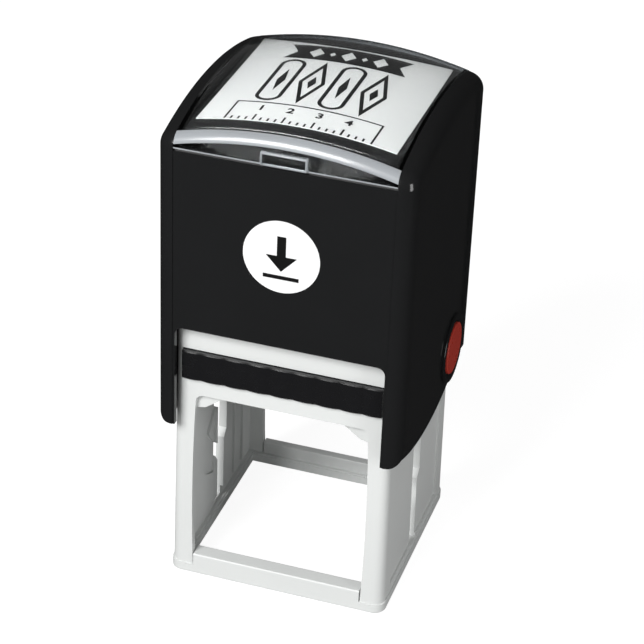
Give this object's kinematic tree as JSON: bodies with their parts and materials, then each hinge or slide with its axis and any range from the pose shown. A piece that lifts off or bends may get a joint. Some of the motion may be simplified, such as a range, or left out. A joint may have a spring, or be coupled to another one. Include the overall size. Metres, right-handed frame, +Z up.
{
  "type": "self-inking stamp",
  "caption": "Square self-inking stamp: a black cap slides down over a pale open frame and turns the rubber die from the ink pad to the paper. The pad draws out in front.",
  "frame": {"origin": "middle of the foot's underside, on the paper", "axes": "+Z up, the ink pad draws out towards -Y, the die axle lies along X"},
  "size_m": [0.0626, 0.0638, 0.1322],
  "materials": {
    "frame_plastic": "pale grey moulded plastic, fine satin texture",
    "cap_plastic": "glossy black moulded plastic",
    "pad_plastic": "satin black moulded plastic",
    "inked_felt": "felt soaked with dark ink",
    "carrier_plastic": "dark moulded plastic",
    "cushion_foam": "closed-cell foam",
    "die_rubber": "engraved rubber",
    "spring_steel": "drawn steel wire and rod",
    "clear_plastic": "polished clear moulded plastic",
    "label_paper": "coated white paper, printed black",
    "badge_white": "white printed disc",
    "acetal": "natural acetal",
    "button_red": "red moulded plastic"
  },
  "bodies": {
    "frame": {"base_frame": "frame_plastic", "foot_ring": "frame_plastic", "main_spring_right": "spring_steel", "main_spring_left": "spring_steel"},
    "cap": {"cap_shell": "cap_plastic", "index_label": "label_paper", "front_badge": "badge_white", "lock_spring_right": "spring_steel", "lock_spring_left": "spring_steel"},
    "die": {"die_carrier": "carrier_plastic", "die_plate": "carrier_plastic", "die_cushion": "cushion_foam", "rubber_die": "die_rubber", "die_axle": "spring_steel", "axle_bush_right": "acetal", "axle_bush_left": "acetal", "cam_pin_right": "acetal", "cam_pin_left": "acetal"},
    "ink_pad": {"ink_cartridge": "pad_plastic", "ink_felt": "inked_felt"},
    "window": {"index_window": "clear_plastic"},
    "button_right": {"lock_button_right": "button_red", "lock_ring_right": "spring_steel"},
    "button_left": {"lock_button_left": "button_red", "lock_ring_left": "spring_steel"}
  },
  "joints": [
    {"name": "cap_press", "type": "slide", "parent": "frame", "child": "cap", "axis": [0, 0, -1], "range_m": [0, 0.0405], "stiffness_N_per_m": 400, "springref_m": -0.02, "deforming": ["main_spring_right", "main_spring_left"]},
    {"name": "die_flip", "type": "hinge", "parent": "cap", "child": "die", "pos_m": [0, 0, 0.0485], "axis": [-1, 0, 0], "range_deg": [0, 180]},
    {"name": "ink_pad_slide", "type": "slide", "parent": "frame", "child": "ink_pad", "axis": [0, 1, 0], "range_m": [-0.055, 0]},
    {"name": "lock_button_right_press", "type": "slide", "parent": "cap", "child": "button_right", "axis": [-1, 0, 0], "range_m": [0, 0.0006], "stiffness_N_per_m": 400, "springref_m": -0.001},
    {"name": "lock_button_left_press", "type": "slide", "parent": "cap", "child": "button_left", "axis": [1, 0, 0], "range_m": [0, 0.0006], "stiffness_N_per_m": 400, "springref_m": -0.001},
    {"name": "window_lift", "type": "slide", "parent": "cap", "child": "window", "axis": [0, 0, 1], "range_m": [0, 0.015]}
  ],
  "couplings": [
    {"joint": "die_flip", "follows": "cap_press", "rad_per_m": 77.57}
  ]
}
